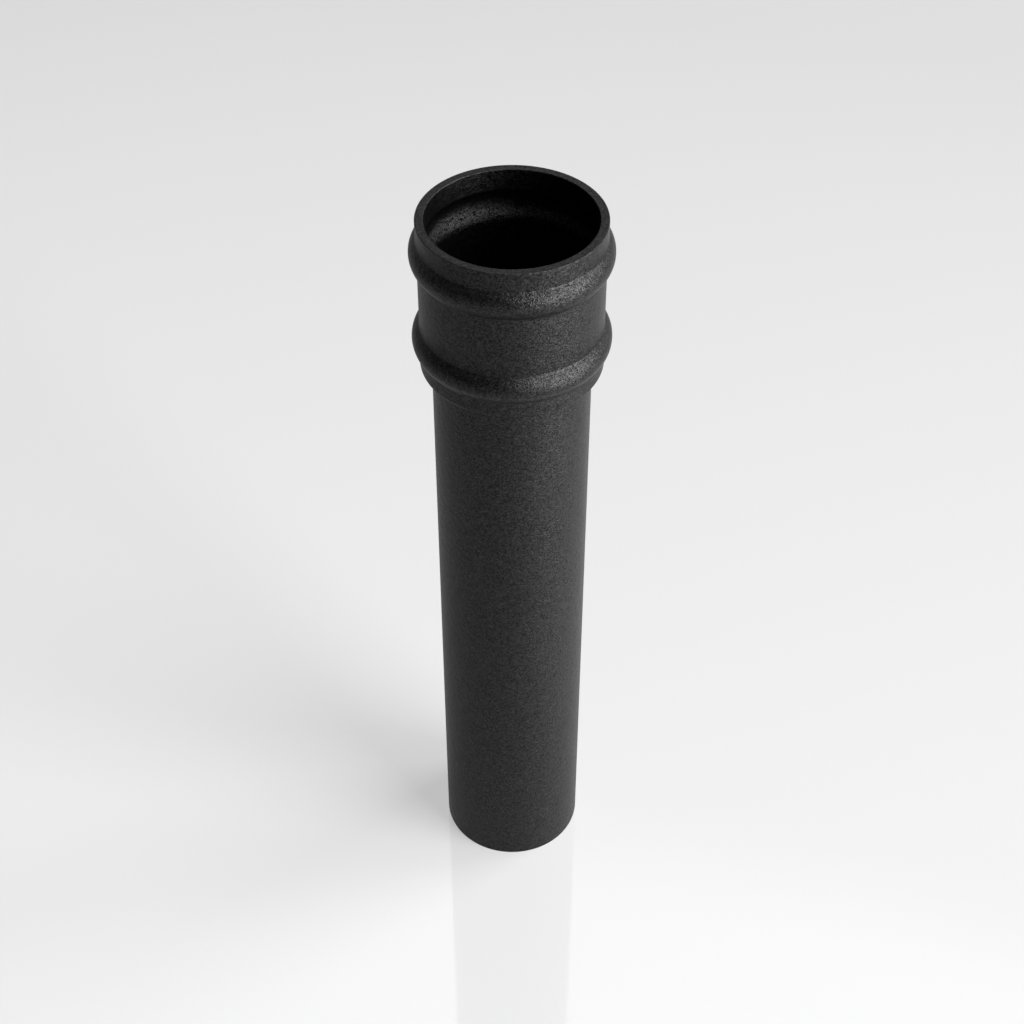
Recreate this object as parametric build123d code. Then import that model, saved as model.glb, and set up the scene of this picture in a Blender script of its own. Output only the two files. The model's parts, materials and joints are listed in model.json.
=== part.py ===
from build123d import *
import os
from math import acos, cos, degrees, radians, sin, sqrt, tan

# Downpipe: a plain round barrel with a two-bead socket cast on its top end.
# Millimetres. +Z runs up the pipe's axis. The origin is the centre of the plain bottom end.

# Barrel
pipe_diameter = 76.0
barrel_wall = 3.0
barrel_length = 335.6
end_edge_round = 0.4

# Socket, from its lower edge to its rim
socket_height = 80.0
socket_wall = 4.1
mouth_clearance = 1.45
spigot_clearance = 0.3
waist_relief = 0.33
stop_thickness = 4.1
lower_edge_round = 2.0
step_fillet = 1.0
stop_edge_round = 1.0
stop_fillet = 1.0
rim_edge_round = 0.4

# Beads round the outside of the socket
bead_height = 3.4
bead_round = 8.8
bead_flare = 2.0
top_bead_drop = 17.0
low_bead_rise = 16.1

# Groove inside the mouth, behind the top bead, and the shoulder that leads on into the bore
groove_depth = 2.85
groove_round = 8.8
groove_edge_round = 0.3
flank_slope = 33.0
shoulder_round = 7.0

# Radii and heights that follow from the sizes above
barrel_radius = pipe_diameter / 2
bore_radius = barrel_radius - barrel_wall
mouth_radius = barrel_radius + mouth_clearance
socket_bore_radius = barrel_radius + spigot_clearance
socket_radius = mouth_radius + socket_wall
waist_radius = socket_radius - waist_relief
crest_radius = socket_radius + bead_height
groove_centre_radius = mouth_radius + groove_depth - groove_round
rim_height = barrel_length + socket_height
stop_height = barrel_length + stop_thickness
top_bead_height = rim_height - top_bead_drop
low_bead_height = barrel_length + low_bead_rise


def bead_reach(wall_radius):
    """Height from a bead's middle to where its hollow flare meets the wall."""
    centres = bead_round + bead_flare
    across = centres - (crest_radius - wall_radius)
    return sqrt(centres**2 - across**2)


def half_bead(wall_radius, middle, side):
    """A bead's line from its crest to the wall: a round arc, then a hollow one tangent to both.

    side is 1 for the half above the bead's middle and -1 for the half below it.
    """
    turn = degrees(acos(1 - (crest_radius - wall_radius) / (bead_round + bead_flare)))
    crest = CenterArc((crest_radius - bead_round, middle), bead_round, 0, side * turn)
    flare_centre = (wall_radius + bead_flare, middle + side * bead_reach(wall_radius))
    flare = CenterArc(flare_centre, bead_flare, 180 + side * turn, -side * turn)
    return [crest, flare]


def bead(middle, radius_below, radius_above):
    """A bead on the outside, between walls of two radii."""
    return half_bead(radius_below, middle, -1) + half_bead(radius_above, middle, 1)


def groove_and_shoulder():
    """The socket's inside from the mouth's lower edge, out round the groove and in to the bore.

    The groove is one arc. It runs on as a straight flank that closes in downwards, and a shoulder
    rounds the flank over into the bore. Returns the mouth's edge height, the lines and the height
    where the bore starts.
    """
    slope = radians(flank_slope)
    mouth_turn = acos(1 - groove_depth / groove_round)
    mouth_edge = top_bead_height + groove_round * sin(mouth_turn)
    groove_start = degrees(mouth_turn)
    groove_centre = (groove_centre_radius, top_bead_height)
    groove = CenterArc(groove_centre, groove_round, groove_start, -groove_start - flank_slope)
    flank_radius = groove_centre_radius + groove_round * cos(slope)
    flank_height = top_bead_height - groove_round * sin(slope)
    shoulder_radius = socket_bore_radius + shoulder_round * (1 - cos(slope))
    shoulder_height = flank_height - (flank_radius - shoulder_radius) / tan(slope)
    bore_top = shoulder_height - shoulder_round * sin(slope)
    flank = Line((flank_radius, flank_height), (shoulder_radius, shoulder_height))
    shoulder_centre = (socket_bore_radius + shoulder_round, bore_top)
    shoulder = CenterArc(shoulder_centre, shoulder_round, 180 - flank_slope, flank_slope)
    return mouth_edge, [groove, flank, shoulder], bore_top


def corner_at(face, radius, height):
    """The section's corner nearest to a point."""
    return face.vertices().sort_by_distance((radius, height, 0))[0]


def pipe_section():
    """Half of the pipe's lengthwise section: X is the radius and Y the height."""
    neck_reach = bead_reach(socket_radius)
    waist_reach = bead_reach(waist_radius)
    mouth_edge, inner_curve, bore_top = groove_and_shoulder()
    foot_and_barrel = Polyline(
        (bore_radius, stop_height),
        (bore_radius, 0),
        (barrel_radius, 0),
        (barrel_radius, barrel_length),
        (socket_radius, barrel_length),
        (socket_radius, low_bead_height - neck_reach),
    )
    waist = Line(
        (waist_radius, low_bead_height + waist_reach),
        (waist_radius, top_bead_height - waist_reach),
    )
    rim = Polyline(
        (socket_radius, top_bead_height + neck_reach),
        (socket_radius, rim_height),
        (mouth_radius, rim_height),
        (mouth_radius, mouth_edge),
    )
    bore_and_stop = Polyline(
        (socket_bore_radius, bore_top),
        (socket_bore_radius, stop_height),
        (bore_radius, stop_height),
    )
    beads = bead(low_bead_height, socket_radius, waist_radius) + bead(
        top_bead_height, waist_radius, socket_radius
    )
    straight = [foot_and_barrel, waist, rim, bore_and_stop]
    return make_face([edge for line in straight for edge in line.edges()] + beads + inner_curve)


section = pipe_section()
mouth_edge_height = groove_and_shoulder()[0]
rounds = [
    (bore_radius, 0, end_edge_round),
    (barrel_radius, 0, end_edge_round),
    (barrel_radius, barrel_length, step_fillet),
    (socket_radius, barrel_length, lower_edge_round),
    (socket_radius, rim_height, rim_edge_round),
    (mouth_radius, rim_height, rim_edge_round),
    (mouth_radius, mouth_edge_height, groove_edge_round),
    (socket_bore_radius, stop_height, stop_fillet),
    (bore_radius, stop_height, stop_edge_round),
]
for corner_radius, corner_height, round_radius in rounds:
    section = fillet(corner_at(section, corner_radius, corner_height), round_radius)

downpipe = revolve(Plane.XZ * section, Axis.Z)

os.makedirs("parts", exist_ok=True)
export_step(downpipe, "parts/downpipe.step")
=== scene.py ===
import json
import math

import bpy
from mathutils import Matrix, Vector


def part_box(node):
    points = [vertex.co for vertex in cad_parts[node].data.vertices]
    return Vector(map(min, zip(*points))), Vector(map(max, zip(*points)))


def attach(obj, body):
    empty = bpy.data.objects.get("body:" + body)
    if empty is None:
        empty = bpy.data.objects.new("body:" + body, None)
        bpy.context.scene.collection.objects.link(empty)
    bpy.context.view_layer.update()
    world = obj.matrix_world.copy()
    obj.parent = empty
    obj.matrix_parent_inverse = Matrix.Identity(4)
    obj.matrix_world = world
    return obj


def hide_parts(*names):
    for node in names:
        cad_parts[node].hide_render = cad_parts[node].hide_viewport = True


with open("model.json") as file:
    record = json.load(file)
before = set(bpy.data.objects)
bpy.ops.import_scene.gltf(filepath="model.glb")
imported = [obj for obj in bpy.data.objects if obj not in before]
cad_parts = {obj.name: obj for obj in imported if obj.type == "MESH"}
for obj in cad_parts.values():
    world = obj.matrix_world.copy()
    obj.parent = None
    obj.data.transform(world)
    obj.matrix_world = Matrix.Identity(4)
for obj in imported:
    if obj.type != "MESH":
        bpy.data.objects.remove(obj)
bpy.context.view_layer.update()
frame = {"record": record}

# A cast rainwater downpipe, standing on its plain end with the socket up.
# Metres. +Z runs up the pipe's axis, and the camera stands on the -Y side.

MM = 0.001


def mount_size(name, key):
    """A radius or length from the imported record's mounts, in metres."""
    for mount in frame["record"]["mounts"]:
        if mount["name"] == name:
            return mount["dims"][key] * MM
    raise KeyError(name)


# Sizes from the frame
BARREL_RADIUS = mount_size("barrel_outside", "r_mm")
BARREL_LENGTH = mount_size("barrel_outside", "length_mm")
BORE_RADIUS = mount_size("barrel_bore", "r_mm")
STOP_HEIGHT = mount_size("barrel_bore", "length_mm")
SOCKET_BORE = mount_size("socket_bore", "r_mm")
MOUTH_RADIUS = mount_size("socket_mouth", "r_mm")
PIPE_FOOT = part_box("downpipe")[0].z
PIPE_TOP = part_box("downpipe")[1].z

# Sizes of the socket's form
SOCKET_WALL = 4.1 * MM
WAIST_RELIEF = 0.33 * MM
BEAD_HEIGHT = 3.35 * MM
BEAD_ROUND = 8.8 * MM
BEAD_FLARE = 2.0 * MM
TOP_BEAD_DROP = 17.0 * MM
LOW_BEAD_RISE = 16.1 * MM
GROOVE_DEPTH = 2.85 * MM
GROOVE_ROUND = 8.8 * MM
FLANK_SLOPE = 33.0
SHOULDER_ROUND = 7.0 * MM
END_ROUND = 0.4 * MM
RIM_ROUND = 0.4 * MM
LOWER_ROUND = 2.0 * MM
STEP_FILLET = 1.0 * MM

SOCKET_RADIUS = MOUTH_RADIUS + SOCKET_WALL
WAIST_RADIUS = SOCKET_RADIUS - WAIST_RELIEF
CREST_RADIUS = SOCKET_RADIUS + BEAD_HEIGHT
TOP_BEAD = PIPE_TOP - TOP_BEAD_DROP
LOW_BEAD = BARREL_LENGTH + LOW_BEAD_RISE

# How fine the mesh is
SIDES = 240
BARREL_RING_GAP = 3.6 * MM
BORE_RING_GAP = 9.0 * MM
SOCKET_RING_GAP = 2.4 * MM
EDGE_RING = 0.25 * MM
BEAD_RINGS = 9
GROOVE_RINGS = 14
SHOULDER_RINGS = 6
FLARE_RINGS = 5
ROUND_RINGS = 4
SEAM_MERGE = 0.01 * MM
SMOOTH_UP_TO = 35.0


def arc(centre_radius, centre_height, radius, start, end, steps):
    """Stations along an arc of the section, without its first point.

    Angles are in degrees, and 0 points outwards.
    """
    stations = []
    for step in range(1, steps + 1):
        angle = math.radians(start + (end - start) * step / steps)
        across = centre_radius + radius * math.cos(angle)
        stations.append((across, centre_height + radius * math.sin(angle)))
    return stations


def straight(start, end, gap):
    """Stations along a straight line, without its first point.

    A short ring lies inside each end.
    """
    length = math.dist(start, end)
    inner = max(length - 2 * EDGE_RING, 0)
    steps = max(round(inner / gap), 1)
    reaches = [EDGE_RING + inner * step / steps for step in range(steps + 1)] + [length]
    return [
        tuple(s + (e - s) * reach / length for s, e in zip(start, end)) for reach in reaches
    ]


def bead_turn(rise, crest_round, flare):
    """How far a bead's flank leans, in degrees, where its round crest meets its hollow flare."""
    return math.degrees(math.acos(1 - rise / (crest_round + flare)))


def bead_reach(rise, crest_round, flare):
    """Height from a bead's middle to the end of its flare on the wall."""
    return (crest_round + flare) * math.sin(math.radians(bead_turn(rise, crest_round, flare)))


def flare_to_crest(wall, crest, middle, crest_round, flare, side):
    """Stations from the wall to a bead's crest. side is -1 from below and 1 from above."""
    turn = bead_turn(crest - wall, crest_round, flare)
    reach = bead_reach(crest - wall, crest_round, flare)
    hollow = arc(wall + flare, middle + side * reach, flare, 180, 180 + side * turn, FLARE_RINGS)
    round_part = arc(crest - crest_round, middle, crest_round, side * turn, 0, BEAD_RINGS)
    return hollow + round_part


def crest_to_flare(wall, crest, middle, crest_round, flare, side):
    """Stations from a bead's crest back to the wall. side is -1 downwards and 1 upwards."""
    turn = bead_turn(crest - wall, crest_round, flare)
    reach = bead_reach(crest - wall, crest_round, flare)
    round_part = arc(crest - crest_round, middle, crest_round, 0, side * turn, BEAD_RINGS)
    hollow = arc(wall + flare, middle + side * reach, flare, 180 + side * turn, 180, FLARE_RINGS)
    return round_part + hollow


def run_to(stations, end, gap):
    """Adds a straight run from the last station to an end point."""
    stations += straight(stations[-1], end, gap)


def outside_stations():
    """The section's outside, from the plain end's face up to the rim's face."""
    neck_reach = bead_reach(CREST_RADIUS - SOCKET_RADIUS, BEAD_ROUND, BEAD_FLARE)
    waist_reach = bead_reach(CREST_RADIUS - WAIST_RADIUS, BEAD_ROUND, BEAD_FLARE)
    shape = (BEAD_ROUND, BEAD_FLARE)
    line = [(BARREL_RADIUS - END_ROUND, PIPE_FOOT)]
    line += arc(BARREL_RADIUS - END_ROUND, PIPE_FOOT + END_ROUND, END_ROUND, -90, 0, ROUND_RINGS)
    run_to(line, (BARREL_RADIUS, BARREL_LENGTH - STEP_FILLET), BARREL_RING_GAP)
    step_centre = (BARREL_RADIUS + STEP_FILLET, BARREL_LENGTH - STEP_FILLET)
    line += arc(*step_centre, STEP_FILLET, 180, 90, ROUND_RINGS)
    run_to(line, (SOCKET_RADIUS - LOWER_ROUND, BARREL_LENGTH), SOCKET_RING_GAP)
    lower_centre = (SOCKET_RADIUS - LOWER_ROUND, BARREL_LENGTH + LOWER_ROUND)
    line += arc(*lower_centre, LOWER_ROUND, -90, 0, 2 * ROUND_RINGS)
    run_to(line, (SOCKET_RADIUS, LOW_BEAD - neck_reach), SOCKET_RING_GAP)
    line += flare_to_crest(SOCKET_RADIUS, CREST_RADIUS, LOW_BEAD, *shape, -1)
    line += crest_to_flare(WAIST_RADIUS, CREST_RADIUS, LOW_BEAD, *shape, 1)
    run_to(line, (WAIST_RADIUS, TOP_BEAD - waist_reach), SOCKET_RING_GAP)
    line += flare_to_crest(WAIST_RADIUS, CREST_RADIUS, TOP_BEAD, *shape, -1)
    line += crest_to_flare(SOCKET_RADIUS, CREST_RADIUS, TOP_BEAD, *shape, 1)
    run_to(line, (SOCKET_RADIUS, PIPE_TOP - RIM_ROUND), SOCKET_RING_GAP)
    line += arc(SOCKET_RADIUS - RIM_ROUND, PIPE_TOP - RIM_ROUND, RIM_ROUND, 0, 90, ROUND_RINGS)
    return line


def inside_stations(start):
    """The section's inside, from the rim's face down to the plain end's face."""
    slope = math.radians(FLANK_SLOPE)
    mouth_turn = math.acos(1 - GROOVE_DEPTH / GROOVE_ROUND)
    groove_centre = MOUTH_RADIUS + GROOVE_DEPTH - GROOVE_ROUND
    flank_foot = SOCKET_BORE + SHOULDER_ROUND * (1 - math.cos(slope))
    line = [start]
    run_to(line, (MOUTH_RADIUS + RIM_ROUND, PIPE_TOP), SOCKET_RING_GAP)
    line += arc(MOUTH_RADIUS + RIM_ROUND, PIPE_TOP - RIM_ROUND, RIM_ROUND, 90, 180, ROUND_RINGS)
    run_to(line, (MOUTH_RADIUS, TOP_BEAD + GROOVE_ROUND * math.sin(mouth_turn)), SOCKET_RING_GAP)
    groove_start = math.degrees(mouth_turn)
    line += arc(groove_centre, TOP_BEAD, GROOVE_ROUND, groove_start, -FLANK_SLOPE, GROOVE_RINGS)
    flank_drop = (line[-1][0] - flank_foot) / math.tan(slope)
    run_to(line, (flank_foot, line[-1][1] - flank_drop), SOCKET_RING_GAP)
    bore_top = line[-1][1] - SHOULDER_ROUND * math.sin(slope)
    shoulder = (SOCKET_BORE + SHOULDER_ROUND, bore_top, SHOULDER_ROUND)
    line += arc(*shoulder, 180 - FLANK_SLOPE, 180, SHOULDER_RINGS)
    run_to(line, (SOCKET_BORE, STOP_HEIGHT + STEP_FILLET), BORE_RING_GAP)
    stop_corner = (SOCKET_BORE - STEP_FILLET, STOP_HEIGHT + STEP_FILLET, STEP_FILLET)
    line += arc(*stop_corner, 0, -90, ROUND_RINGS)
    run_to(line, (BORE_RADIUS + STEP_FILLET, STOP_HEIGHT), SOCKET_RING_GAP)
    stop_edge = (BORE_RADIUS + STEP_FILLET, STOP_HEIGHT - STEP_FILLET, STEP_FILLET)
    line += arc(*stop_edge, 90, 180, ROUND_RINGS)
    run_to(line, (BORE_RADIUS, PIPE_FOOT + END_ROUND), BORE_RING_GAP)
    line += arc(BORE_RADIUS + END_ROUND, PIPE_FOOT + END_ROUND, END_ROUND, 180, 270, ROUND_RINGS)
    return line[1:]


def model_downpipe():
    """Draws the section point by point, up the outside and down the inside, and spins it."""
    stations = outside_stations()
    stations += inside_stations(stations[-1])
    start_radius, start_height = stations[0]
    bpy.ops.object.select_all(action="DESELECT")
    bpy.ops.mesh.primitive_plane_add(size=END_ROUND, location=(start_radius, 0, start_height))
    pipe = bpy.context.object
    pipe.name = "downpipe_casting"
    bpy.ops.object.transform_apply(location=True)
    bpy.ops.object.mode_set(mode="EDIT")
    bpy.ops.mesh.select_mode(type="VERT")
    bpy.ops.mesh.select_all(action="SELECT")
    bpy.ops.mesh.merge(type="CENTER")
    for (radius, height), (next_radius, next_height) in zip(stations, stations[1:]):
        step = {"value": (next_radius - radius, 0, next_height - height)}
        bpy.ops.mesh.extrude_region_move(TRANSFORM_OT_translate=step)
    close_section(pipe)
    bpy.ops.mesh.select_all(action="SELECT")
    turn = {"angle": math.tau, "center": (0, 0, 0), "axis": (0, 0, 1)}
    bpy.ops.mesh.spin(steps=SIDES, **turn)
    bpy.ops.mesh.select_all(action="SELECT")
    bpy.ops.mesh.remove_doubles(threshold=SEAM_MERGE)
    bpy.ops.mesh.normals_make_consistent(inside=False)
    bpy.ops.object.mode_set(mode="OBJECT")
    return pipe


def close_section(pipe):
    """Joins the section's last point to its first, across the plain end's flat face."""
    bpy.ops.object.mode_set(mode="OBJECT")
    for point in pipe.data.vertices:
        point.select = False
    for point in (pipe.data.vertices[0], pipe.data.vertices[-1]):
        point.select = True
    bpy.ops.object.mode_set(mode="EDIT")
    bpy.ops.mesh.edge_face_add()


def finish_surface(pipe):
    """Smooth shading that keeps the rim's and the foot's faces flat."""
    bpy.ops.object.select_all(action="DESELECT")
    pipe.select_set(True)
    bpy.context.view_layer.objects.active = pipe
    bpy.ops.object.shade_smooth_by_angle(angle=math.radians(SMOOTH_UP_TO))


def add_node(tree, kind, place, **settings):
    """A new node, at its place in the node editor."""
    node = tree.nodes.new(kind)
    node.location = place
    for name, value in settings.items():
        setattr(node, name, value)
    return node


def add_math(tree, place, operation, *sources, **settings):
    """The result of a maths node, whose sources are other nodes' outputs or plain numbers."""
    node = add_node(tree, "ShaderNodeMath", place, operation=operation, **settings)
    for socket, source in zip(node.inputs, sources):
        if isinstance(source, bpy.types.NodeSocket):
            tree.links.new(source, socket)
        else:
            socket.default_value = source
    return node.outputs["Value"]


def add_ramp(tree, place, value, start, end, **settings):
    """What a value becomes between two ends, each given as the value and its result there."""
    node = add_node(tree, "ShaderNodeMapRange", place, **settings)
    node.inputs["From Min"].default_value, node.inputs["To Min"].default_value = start
    node.inputs["From Max"].default_value, node.inputs["To Max"].default_value = end
    tree.links.new(value, node.inputs["Value"])
    return node.outputs["Result"]


def add_parts(tree, place, vector):
    """A vector's X, Y and Z parts."""
    node = add_node(tree, "ShaderNodeSeparateXYZ", place)
    tree.links.new(vector, node.inputs["Vector"])
    return node.outputs["X"], node.outputs["Y"], node.outputs["Z"]


def by_camera_ray(tree, place, path, otherwise, seen):
    """One value where the camera looks straight at something, and another for all other rays."""
    node = add_node(tree, "ShaderNodeMix", place, data_type="FLOAT")
    tree.links.new(path.outputs["Is Camera Ray"], node.inputs["Factor"])
    tree.links.new(otherwise, node.inputs["A"])
    node.inputs["B"].default_value = seen
    return node.outputs["Result"]


# The paint over the sand-cast skin.
# Its flakes reflect as a dark metal does, so its colour is its reflectance.
GRAIN_SIZE = 0.5 * MM
GRAIN_RELIEF = 0.15 * MM
DULL_GRAIN = 0.008
BRIGHT_GRAIN = 0.048
PAINT_ROUGHNESS = 0.42
EDGE_SHEEN = 0.78

# The lumps under the grains. Each pair is the noise's value and how bright the paint is there.
LUMP_SIZE = 3.0 * MM
LUMP_RELIEF = 0.3 * MM
LUMP_DETAIL = 2
LUMP_FOOT = (0.25, 0.92)
LUMP_CREST = (0.75, 1.08)

# A painted highlight: a pale ring under the low bead's crest, where the paint's colour is
# lightened to stand in for a thin line of reflected light. Each pair is a distance from its
# middle and how bright the paint is there.
PAINTED_HIGHLIGHT_HEIGHT = LOW_BEAD - 3.0 * MM
PAINTED_HIGHLIGHT_CORE = (0.5 * MM, 1.4)
PAINTED_HIGHLIGHT_EDGE = (1.6 * MM, 1.0)

# Painted shade: inside the socket the paint's colour is darker by this much, standing in for the
# shade there, but not on the rim's own face
INSIDE_PAINTED_SHADE = 0.009
INSIDE_RADIUS = (MOUTH_RADIUS + GROOVE_DEPTH + WAIST_RADIUS) / 2
INSIDE_FROM = STOP_HEIGHT - 1.0 * MM
INSIDE_TO = PIPE_TOP - 0.2 * MM


def painted_highlight_ring(tree, height):
    """How much the painted highlight lightens the paint's colour near the ring's height."""
    below = add_math(tree, (-1300, -500), "SUBTRACT", height, PAINTED_HIGHLIGHT_HEIGHT)
    off = add_math(tree, (-1100, -500), "ABSOLUTE", below)
    return add_ramp(tree, (-900, -500), off, PAINTED_HIGHLIGHT_CORE, PAINTED_HIGHLIGHT_EDGE, name="painted_highlight_ring")


def inside_shade_mask(tree, position, height):
    """1 on the socket's inner faces, where painted shade darkens the paint's colour, and 0
    elsewhere.
    """
    level = add_node(tree, "ShaderNodeVectorMath", (-1300, -800), operation="MULTIPLY")
    tree.links.new(position, level.inputs[0])
    level.inputs[1].default_value = (1, 1, 0)
    radius = add_node(tree, "ShaderNodeVectorMath", (-1100, -800), operation="LENGTH")
    tree.links.new(level.outputs["Vector"], radius.inputs[0])
    near = add_math(tree, (-900, -800), "LESS_THAN", radius.outputs["Value"], INSIDE_RADIUS)
    middle = (INSIDE_FROM + INSIDE_TO) / 2
    reach = (INSIDE_TO - INSIDE_FROM) / 2
    between = add_math(tree, (-900, -1000), "COMPARE", height, middle, reach)
    return add_math(tree, (-700, -900), "MULTIPLY", near, between)


def paint_tone(tree, position, grains, lumps):
    """The paint's reflectance: each grain has its own, and it varies a little with the lumps. A
    painted highlight lightens it in a ring under the low bead, and painted shade darkens it
    inside the socket.
    """
    height = add_parts(tree, (-1500, -500), position)[2]
    pick = add_node(tree, "ShaderNodeSeparateColor", (-1100, 300))
    tree.links.new(grains.outputs["Color"], pick.inputs["Color"])
    ends = ((0, DULL_GRAIN), (1, BRIGHT_GRAIN))
    grain = add_ramp(tree, (-900, 300), pick.outputs["Red"], *ends, name="grain_tone")
    heights = (LUMP_FOOT, LUMP_CREST)
    lump = add_ramp(tree, (-900, 0), lumps.outputs["Fac"], *heights, name="lump_tone")
    tone = add_math(tree, (-600, 200), "MULTIPLY", grain, lump)
    highlighted = add_math(tree, (-400, 100), "MULTIPLY", tone, painted_highlight_ring(tree, height))
    # Painted shade: the paint's colour is darkened on the socket's inner faces.
    inside_shade = (inside_shade_mask(tree, position, height), -INSIDE_PAINTED_SHADE)
    return add_math(tree, (-200, 100), "MULTIPLY_ADD", *inside_shade, highlighted, use_clamp=True)


def skin_relief(tree, grains, lumps):
    """The skin's normal: grains that stand a little proud, over the softer lumps."""
    lump_bump = add_node(tree, "ShaderNodeBump", (-600, -300), name="lump_bump")
    lump_bump.inputs["Distance"].default_value = LUMP_RELIEF
    tree.links.new(lumps.outputs["Fac"], lump_bump.inputs["Height"])
    grain_bump = add_node(tree, "ShaderNodeBump", (-300, -200), name="grain_bump", invert=True)
    grain_bump.inputs["Distance"].default_value = GRAIN_RELIEF
    tree.links.new(grains.outputs["Distance"], grain_bump.inputs["Height"])
    tree.links.new(lump_bump.outputs["Normal"], grain_bump.inputs["Normal"])
    return grain_bump.outputs["Normal"]


def painted_casting():
    """Matt black paint over a sand-cast skin."""
    material = bpy.data.materials.new("painted_casting")
    material.use_nodes = True
    tree = material.node_tree
    link = tree.links.new
    shader = tree.nodes["Principled BSDF"]
    shader.inputs["Metallic"].default_value = 1.0
    shader.inputs["Roughness"].default_value = PAINT_ROUGHNESS
    shader.inputs["Specular Tint"].default_value = (EDGE_SHEEN, EDGE_SHEEN, EDGE_SHEEN, 1)
    position = add_node(tree, "ShaderNodeTexCoord", (-1600, 0)).outputs["Object"]
    grains = add_node(tree, "ShaderNodeTexVoronoi", (-1300, 200), name="grains")
    grains.inputs["Scale"].default_value = 1 / GRAIN_SIZE
    link(position, grains.inputs["Vector"])
    lumps = add_node(tree, "ShaderNodeTexNoise", (-1300, -200), name="lumps")
    lumps.inputs["Scale"].default_value = 1 / LUMP_SIZE
    lumps.inputs["Detail"].default_value = LUMP_DETAIL
    link(position, lumps.inputs["Vector"])
    link(paint_tone(tree, position, grains, lumps), shader.inputs["Base Color"])
    link(skin_relief(tree, grains, lumps), shader.inputs["Normal"])
    return material


# The pale floor is slightly glossy. Its colour holds painted shade, a little darker towards the
# back and the right. NEAR and FAR are places along its slanted length and its tone there.
FLOOR_SIZE = 8.0
FLOOR_ROUGHNESS = 0.05
FLOOR_IOR = 2.0
FLOOR_NEAR = (-0.15, 0.82)
FLOOR_FAR = (1.03, 0.48)
FLOOR_SLANT = 0.3

# A share of the floor is its own even glow. What the pipe reflects of it is a painted reflection
# that rises from the pipe's left to its right. Each pair is a place across and the brightness
# there.
FLOOR_OWN_SHARE = 0.55
FLOOR_OWN_BRIGHTNESS = 0.85
REFLECTED_LEFT = (-0.1, 0.68)
REFLECTED_RIGHT = (0.25, 1.6)

SOFT_EDGES = {"interpolation_type": "SMOOTHSTEP"}


def pale_floor():
    """A pale floor, with painted shade in its colour from front left to back right."""
    material = bpy.data.materials.new("pale_floor")
    material.use_nodes = True
    tree = material.node_tree
    link = tree.links.new
    shader = tree.nodes["Principled BSDF"]
    shader.inputs["Roughness"].default_value = FLOOR_ROUGHNESS
    shader.inputs["IOR"].default_value = FLOOR_IOR
    place = add_node(tree, "ShaderNodeTexCoord", (-900, 0))
    across, along, _ = add_parts(tree, (-700, 0), place.outputs["Object"])
    slant = add_math(tree, (-600, -100), "MULTIPLY_ADD", across, FLOOR_SLANT, along)
    link(add_ramp(tree, (-400, 0), slant, FLOOR_NEAR, FLOOR_FAR), shader.inputs["Base Color"])
    path = add_node(tree, "ShaderNodeLightPath", (-300, 500))
    sides = (REFLECTED_LEFT, REFLECTED_RIGHT)
    # Painted reflection: the floor glows more towards the right, but only in the pipe's
    # reflections.
    reflected = add_ramp(tree, (-400, -300), across, *sides, **SOFT_EDGES)
    own = add_node(tree, "ShaderNodeEmission", (0, -300))
    strength = by_camera_ray(tree, (-200, -300), path, reflected, FLOOR_OWN_BRIGHTNESS)
    link(strength, own.inputs["Strength"])
    rays = (path.outputs["Is Camera Ray"], path.outputs["Is Glossy Ray"])
    seen = add_math(tree, (-100, 500), "MAXIMUM", *rays)
    both = add_node(tree, "ShaderNodeMixShader", (300, 100))
    link(add_math(tree, (100, 500), "MULTIPLY", seen, FLOOR_OWN_SHARE), both.inputs["Fac"])
    link(shader.outputs["BSDF"], both.inputs[1])
    link(own.outputs["Emission"], both.inputs[2])
    link(both.outputs["Shader"], tree.nodes["Material Output"].inputs["Surface"])
    return material


def floor_sheet():
    """The floor under the pipe."""
    bpy.ops.object.select_all(action="DESELECT")
    bpy.ops.mesh.primitive_plane_add(size=FLOOR_SIZE, location=(0, 0, PIPE_FOOT))
    floor = bpy.context.object
    floor.name = "floor"
    floor.data.materials.append(pale_floor())


# The camera, fitted to the photograph's outline of the pipe.
# CAMERA_DOWN is the angle it looks down by, in radians.
CAMERA_PLACE = (0, -0.66686, 0.85701)
CAMERA_DOWN = 0.7488
FOCAL_PIXELS = 1779.5
PICTURE_PIXELS = 1024
SENSOR_MM = 36.0


def photograph_camera():
    """The camera at the photograph's viewing angle."""
    data = bpy.data.cameras.new("camera")
    data.sensor_width = SENSOR_MM
    data.lens = FOCAL_PIXELS / PICTURE_PIXELS * SENSOR_MM
    camera = bpy.data.objects.new("camera", data)
    bpy.context.scene.collection.objects.link(camera)
    camera.location = CAMERA_PLACE
    camera.rotation_euler = (math.pi / 2 - CAMERA_DOWN, 0, 0)
    bpy.context.scene.camera = camera


# Softboxes: azimuth and elevation in degrees, width and height in metres, and brightness.
# Azimuth 0 is the camera's side and 90 the picture's right.
SOFTBOX_DISTANCE = 6.0
AIM_HEIGHT = 0.2
SOFTBOXES = {
    "low_window_front": (45, 9, 1.6, 2.2, 17.9),
    "low_window_middle": (60, 9, 1.6, 2.2, 16.2),
    "low_window_side": (75, 9, 1.6, 2.2, 9.4),
    "high_window_front": (50, 30, 1.8, 2.4, 9.0),
    "high_window_side": (70, 30, 1.8, 2.4, 13.0),
    "high_window_end": (90, 30, 1.6, 2.4, 2.2),
    "back_right_softbox": (113, 38, 2.4, 2.4, 10.0),
    "overhead_right_softbox": (90, 65, 3.5, 2.4, 3.2),
}

# The room's glows: where each begins and is full, as the part of a direction that points
# back, right, both back and up, or up, and its brightness
BACK_WALL = (0.1, 0.5, 0.45)
RIGHT_WALL = (0.3, 0.8, 0.6)
HIGH_WALL = (0.3, 0.45, 0.5)
CEILING = (0.786, 0.826, 1.0)
BACKDROP_BRIGHTNESS = 0.8


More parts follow.
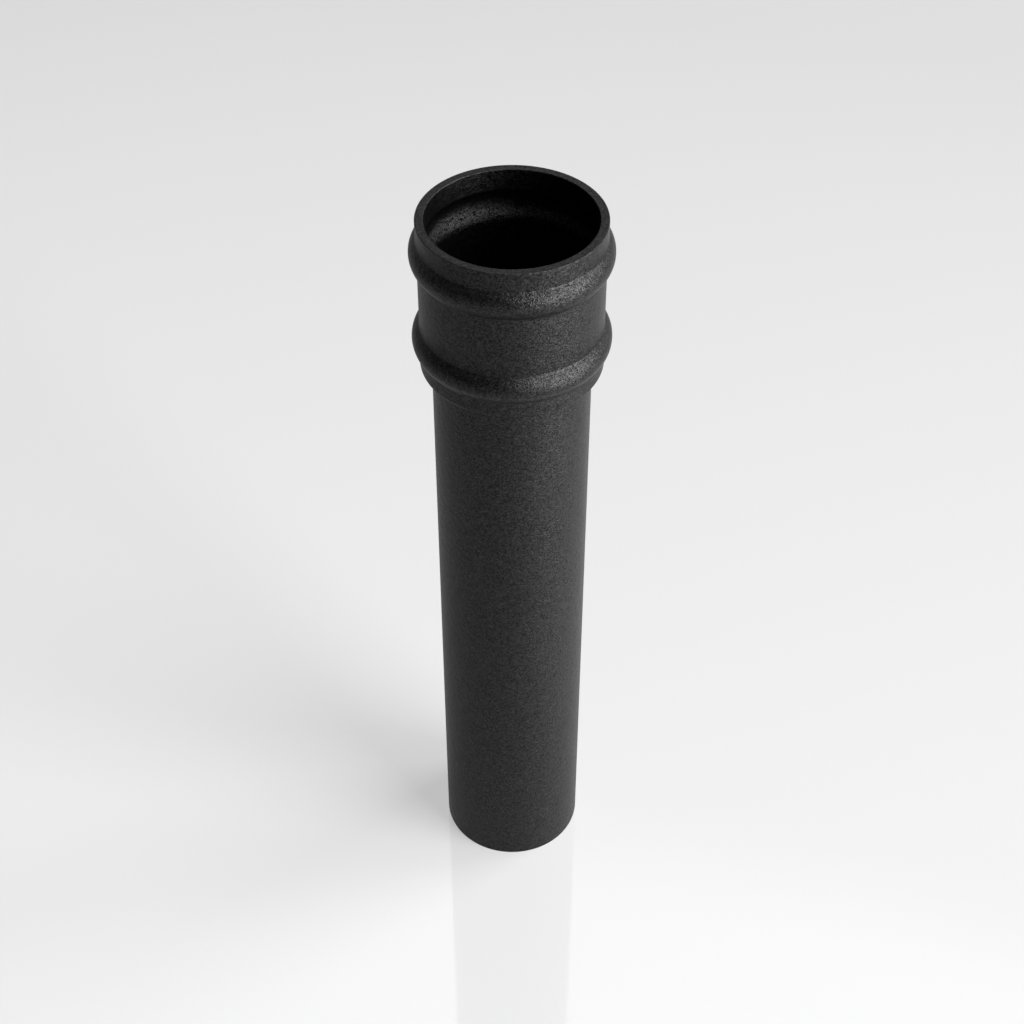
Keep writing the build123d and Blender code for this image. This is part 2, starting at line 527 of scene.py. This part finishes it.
def soft_light(name, azimuth, elevation, width, height, brightness):
    """A flat softbox aimed at the pipe."""
    data = bpy.data.lights.new(name, "AREA")
    data.shape = "RECTANGLE"
    data.size = width
    data.size_y = height
    data.energy = brightness * math.pi * width * height
    light = bpy.data.objects.new(name, data)
    bpy.context.scene.collection.objects.link(light)
    across, up = math.radians(azimuth), math.radians(elevation)
    level = SOFTBOX_DISTANCE * math.cos(up)
    rise = SOFTBOX_DISTANCE * math.sin(up) + AIM_HEIGHT
    light.location = (level * math.sin(across), -level * math.cos(across), rise)
    light.rotation_euler = (math.pi / 2 - up, 0, across)


def brighter_towards(tree, place, direction, start, end, brightness):
    """A glow in the room that rises from nothing as a direction's part grows."""
    return add_ramp(tree, place, direction, (start, 0), (end, brightness), **SOFT_EDGES)


def room_glow(tree, direction):
    """How bright the room is in a direction: its walls and its ceiling together."""
    right, back, up = add_parts(tree, (-1200, 0), direction)
    back_and_up = add_math(tree, (-1100, -300), "MULTIPLY", back, up)
    glow = brighter_towards(tree, (-1000, 100), back, *BACK_WALL)
    others = [
        brighter_towards(tree, (-1000, -50), right, *RIGHT_WALL),
        brighter_towards(tree, (-1000, -350), back_and_up, *HIGH_WALL),
        brighter_towards(tree, (-1000, -200), up, *CEILING),
    ]
    for other in others:
        glow = add_math(tree, (-800, 0), "ADD", glow, other)
    return glow


def studio():
    """The softboxes, a room that only reflections see, and an even backdrop for the camera."""
    for name, placing in SOFTBOXES.items():
        soft_light(name, *placing)
    world = bpy.data.worlds.new("studio")
    bpy.context.scene.world = world
    world.use_nodes = True
    tree = world.node_tree
    background = tree.nodes["Background"]
    background.inputs["Color"].default_value = (1, 1, 1, 1)
    direction = add_node(tree, "ShaderNodeTexCoord", (-1400, 0))
    glow = room_glow(tree, direction.outputs["Generated"])
    path = add_node(tree, "ShaderNodeLightPath", (-1000, 400))
    room = add_math(tree, (-600, 200), "MULTIPLY", glow, path.outputs["Is Glossy Ray"])
    strength = by_camera_ray(tree, (-400, 200), path, room, BACKDROP_BRIGHTNESS)
    tree.links.new(strength, background.inputs["Strength"])


pipe = model_downpipe()
finish_surface(pipe)
pipe.data.materials.append(painted_casting())
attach(pipe, "root")
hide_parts("downpipe")
floor_sheet()
photograph_camera()
studio()
bpy.context.scene.view_settings.view_transform = "Standard"
